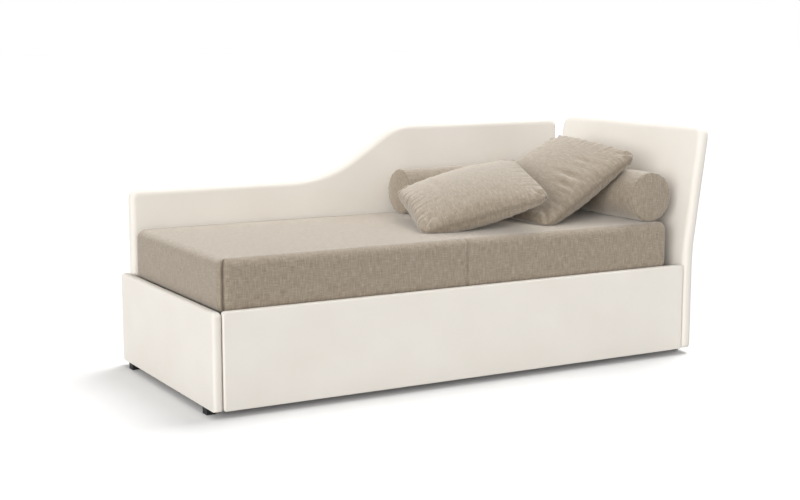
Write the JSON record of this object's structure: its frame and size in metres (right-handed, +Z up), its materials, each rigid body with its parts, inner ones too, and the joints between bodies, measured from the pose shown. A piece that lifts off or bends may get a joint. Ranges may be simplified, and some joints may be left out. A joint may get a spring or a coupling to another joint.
{
  "type": "sofa bed",
  "caption": "Upholstered single sofa bed with a stepped back panel, a leaning headboard, loose cushions and a second bed that rolls out from under it",
  "frame": {"origin": "on the floor under the middle of the sofa bed's box", "axes": "+X towards the headboard, +Y towards the back panel, +Z up"},
  "size_m": [2.2554, 0.986, 0.958],
  "materials": {
    "cream_fabric": "matte",
    "taupe_fabric": "matte",
    "ticking": "matte",
    "foam": "matte",
    "board": "matte",
    "slat_wood": "satin",
    "frame_steel": "satin",
    "plated_steel": "satin",
    "black_plastic": "matte",
    "wheel_plastic": "satin",
    "buffer_rubber": "matte"
  },
  "bodies": {
    "bed_frame": {"foot_end_cover": "cream_fabric", "foot_end_board": "board", "back_cover": "cream_fabric", "back_board": "board", "headboard_cover": "cream_fabric", "headboard_board": "board", "front_rail": "frame_steel", "back_rail": "frame_steel", "foot_rail": "frame_steel", "head_rail": "frame_steel", "main_slats": "slat_wood", "main_slat_holders": "black_plastic", "frame_bolts": "plated_steel", "corner_brackets": "frame_steel", "bracket_screws": "plated_steel", "feet": "black_plastic", "foot_screws": "plated_steel", "front_buffers": "buffer_rubber"},
    "mattress": {"mattress_cover": "taupe_fabric", "mattress_core": "foam"},
    "back_bolster": {"back_bolster_cover": "taupe_fabric", "back_bolster_core": "foam"},
    "head_bolster": {"head_bolster_cover": "taupe_fabric", "head_bolster_core": "foam"},
    "right_pillow": {"right_pillow_cover": "taupe_fabric", "right_pillow_pad": "foam"},
    "left_pillow": {"left_pillow_cover": "taupe_fabric", "left_pillow_pad": "foam"},
    "second_bed": {"front_cover": "cream_fabric", "front_board": "board", "panel_braces": "frame_steel", "panel_screws": "plated_steel", "trundle_front_rail": "frame_steel", "trundle_back_rail": "frame_steel", "trundle_foot_rail": "frame_steel", "trundle_head_rail": "frame_steel", "trundle_slats": "slat_wood", "trundle_slat_holders": "black_plastic", "trundle_mattress_cover": "ticking", "trundle_mattress_core": "foam", "castor_forks": "plated_steel", "castor_axles": "plated_steel"},
    "castor_wheel_1": {"castor_wheel_1": "wheel_plastic"},
    "castor_wheel_2": {"castor_wheel_2": "wheel_plastic"},
    "castor_wheel_3": {"castor_wheel_3": "wheel_plastic"},
    "castor_wheel_4": {"castor_wheel_4": "wheel_plastic"}
  },
  "joints": [
    {"name": "mattress_lift", "type": "slide", "parent": "bed_frame", "child": "mattress", "axis": [0, 0, 1], "range_m": [0, 0.3]},
    {"name": "head_bolster_pull", "type": "slide", "parent": "mattress", "child": "head_bolster", "axis": [0, -1, 0], "range_m": [0, 0.4]},
    {"name": "back_bolster_pull", "type": "slide", "parent": "mattress", "child": "back_bolster", "axis": [-1, 0, 0], "range_m": [0, 0.6]},
    {"name": "right_pillow_lift", "type": "slide", "parent": "mattress", "child": "right_pillow", "axis": [0, 0, 1], "range_m": [0, 0.35]},
    {"name": "left_pillow_lift", "type": "slide", "parent": "right_pillow", "child": "left_pillow", "axis": [0, 0, 1], "range_m": [0, 0.35]},
    {"name": "second_bed_pull", "type": "slide", "parent": "bed_frame", "child": "second_bed", "axis": [0, -1, 0], "range_m": [0, 0.86]},
    {"name": "castor_roll_1", "type": "hinge", "parent": "second_bed", "child": "castor_wheel_1", "pos_m": [-1.00469, -0.382, 0.025], "axis": [1, 0, 0], "continuous": true},
    {"name": "castor_roll_2", "type": "hinge", "parent": "second_bed", "child": "castor_wheel_2", "pos_m": [-1.00469, 0.302, 0.025], "axis": [1, 0, 0], "continuous": true},
    {"name": "castor_roll_3", "type": "hinge", "parent": "second_bed", "child": "castor_wheel_3", "pos_m": [0.91931, -0.382, 0.025], "axis": [1, 0, 0], "continuous": true},
    {"name": "castor_roll_4", "type": "hinge", "parent": "second_bed", "child": "castor_wheel_4", "pos_m": [0.91931, 0.302, 0.025], "axis": [1, 0, 0], "continuous": true}
  ],
  "couplings": [
    {"joint": "castor_roll_1", "follows": "second_bed_pull", "rad_per_m": 40},
    {"joint": "castor_roll_2", "follows": "second_bed_pull", "rad_per_m": 40},
    {"joint": "castor_roll_3", "follows": "second_bed_pull", "rad_per_m": 40},
    {"joint": "castor_roll_4", "follows": "second_bed_pull", "rad_per_m": 40}
  ]
}
